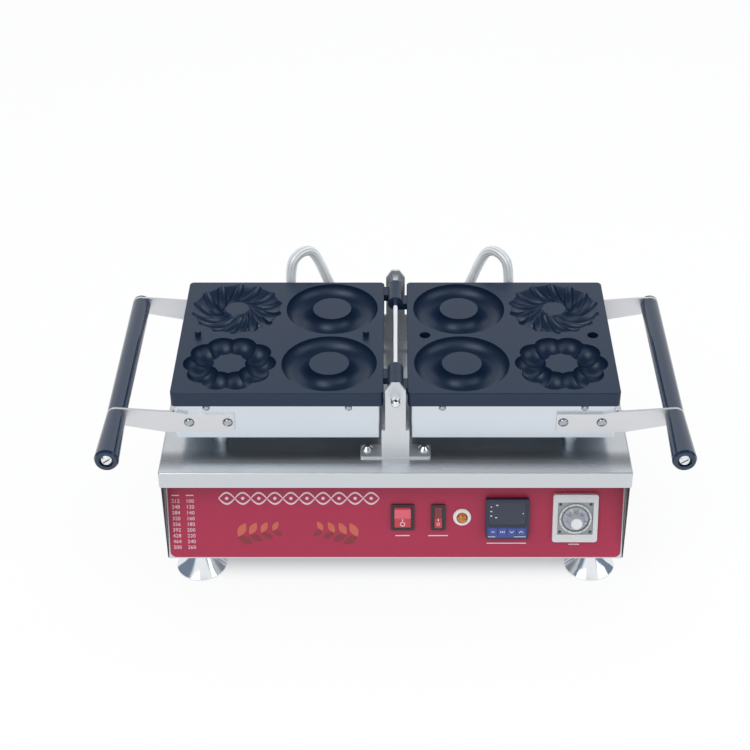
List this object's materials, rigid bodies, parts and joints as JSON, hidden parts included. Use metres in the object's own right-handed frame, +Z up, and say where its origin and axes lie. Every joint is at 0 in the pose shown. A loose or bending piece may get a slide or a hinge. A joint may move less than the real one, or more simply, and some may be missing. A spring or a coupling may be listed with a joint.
{
  "type": "donut maker",
  "caption": "Countertop donut maker: cast plates with ring, flower and swirl cavities flip over on one hinge rod above a steel box with a leaning control panel.",
  "frame": {"origin": "on the floor, under the middle of the rigid outline in plan", "axes": "+X to the right along the row of plates, +Y to the back, +Z up"},
  "size_m": [0.627, 0.3915, 0.282],
  "materials": {
    "nonstick": "black non-stick coating on cast aluminium",
    "housing_steel": "fine brushed stainless steel",
    "base_steel": "bright stainless sheet",
    "plain_steel": "plain bright steel",
    "chrome": "polished chrome",
    "grip_plastic": "glossy black phenolic",
    "hose_sleeve": "pale metallic sleeve",
    "insulation": "pale mineral fibre board",
    "panel_red": "satin printed film",
    "rocker_red": "glossy red",
    "black_plastic": "satin black",
    "window_dark": "dark glossy window",
    "key_blue": "satin blue",
    "lamp_amber": "clear amber",
    "timer_grey": "satin light grey",
    "knob_white": "glossy pale grey",
    "terminal_cream": "matte cream"
  },
  "bodies": {
    "base": {"alarm_switch": "black_plastic", "base_glands": "plain_steel", "buzzer": "black_plastic", "chassis": "base_steel", "controller_case": "black_plastic", "controller_window": "window_dark", "feet": "chrome", "floor_plate": "plain_steel", "foot_nuts": "plain_steel", "front_bracket": "base_steel", "front_panel": "base_steel", "hinge_fasteners": "chrome", "hinge_rod": "chrome", "lamp_bezel": "chrome", "lamp_lens": "lamp_amber", "left_hose": "hose_sleeve", "panel_film": "panel_red", "power_switch": "black_plastic", "rear_bracket": "base_steel", "relay": "black_plastic", "rest_posts": "plain_steel", "right_hose": "hose_sleeve", "terminal_block": "terminal_cream", "timer_body": "timer_grey", "timer_frame": "timer_grey", "top_cover": "base_steel"},
    "left_half": {"left_front_arm": "housing_steel", "left_grip": "grip_plastic", "left_grip_ends": "grip_plastic", "left_handle_rod": "chrome", "left_heater": "plain_steel", "left_hinge_ears": "nonstick", "left_hose_elbow": "plain_steel", "left_housing": "housing_steel", "left_insulation": "insulation", "left_mold_plate": "nonstick", "left_pins": "nonstick", "left_probe": "plain_steel", "left_rear_arm": "housing_steel", "left_screws": "chrome"},
    "right_half": {"right_front_arm": "housing_steel", "right_grip": "grip_plastic", "right_grip_ends": "grip_plastic", "right_handle_rod": "chrome", "right_heater": "plain_steel", "right_hinge_ears": "nonstick", "right_hose_elbow": "plain_steel", "right_housing": "housing_steel", "right_insulation": "insulation", "right_mold_plate": "nonstick", "right_probe": "plain_steel", "right_rear_arm": "housing_steel", "right_screws": "chrome"},
    "alarm_rocker": {"alarm_rocker": "rocker_red"},
    "controller_key_1": {"controller_key_1": "key_blue"},
    "controller_key_2": {"controller_key_2": "key_blue"},
    "controller_key_3": {"controller_key_3": "key_blue"},
    "controller_key_4": {"controller_key_4": "key_blue"},
    "power_rocker": {"power_rocker": "rocker_red"},
    "timer_knob": {"timer_knob": "knob_white"}
  },
  "joints": [
    {"name": "left_flip", "type": "hinge", "parent": "base", "child": "left_half", "pos_m": [0, 0.01525, 0.252], "axis": [0, 1, 0], "range_deg": [0, 180], "deforming": ["left_hose", "right_hose"]},
    {"name": "right_flip", "type": "hinge", "parent": "base", "child": "right_half", "pos_m": [0, 0.01525, 0.252], "axis": [0, -1, 0], "range_deg": [0, 180], "deforming": ["left_hose", "right_hose"]},
    {"name": "power_rock", "type": "hinge", "parent": "base", "child": "power_rocker", "pos_m": [0.0079, -0.11131, 0.09335], "axis": [-1, 0, 0], "range_deg": [0, 16]},
    {"name": "alarm_rock", "type": "hinge", "parent": "base", "child": "alarm_rocker", "pos_m": [0.0476, -0.11131, 0.09335], "axis": [1, 0, 0], "range_deg": [0, 16]},
    {"name": "timer_turn", "type": "hinge", "parent": "base", "child": "timer_knob", "pos_m": [0.1998, -0.11131, 0.09335], "axis": [0, 0.9659, -0.2588], "range_deg": [0, 300]},
    {"name": "key_1_press", "type": "slide", "parent": "base", "child": "controller_key_1", "axis": [0, 0.9659, -0.2588], "range_m": [0, 0.0007], "stiffness_N_per_m": 600},
    {"name": "key_2_press", "type": "slide", "parent": "base", "child": "controller_key_2", "axis": [0, 0.9659, -0.2588], "range_m": [0, 0.0007], "stiffness_N_per_m": 600},
    {"name": "key_3_press", "type": "slide", "parent": "base", "child": "controller_key_3", "axis": [0, 0.9659, -0.2588], "range_m": [0, 0.0007], "stiffness_N_per_m": 600},
    {"name": "key_4_press", "type": "slide", "parent": "base", "child": "controller_key_4", "axis": [0, 0.9659, -0.2588], "range_m": [0, 0.0007], "stiffness_N_per_m": 600}
  ]
}
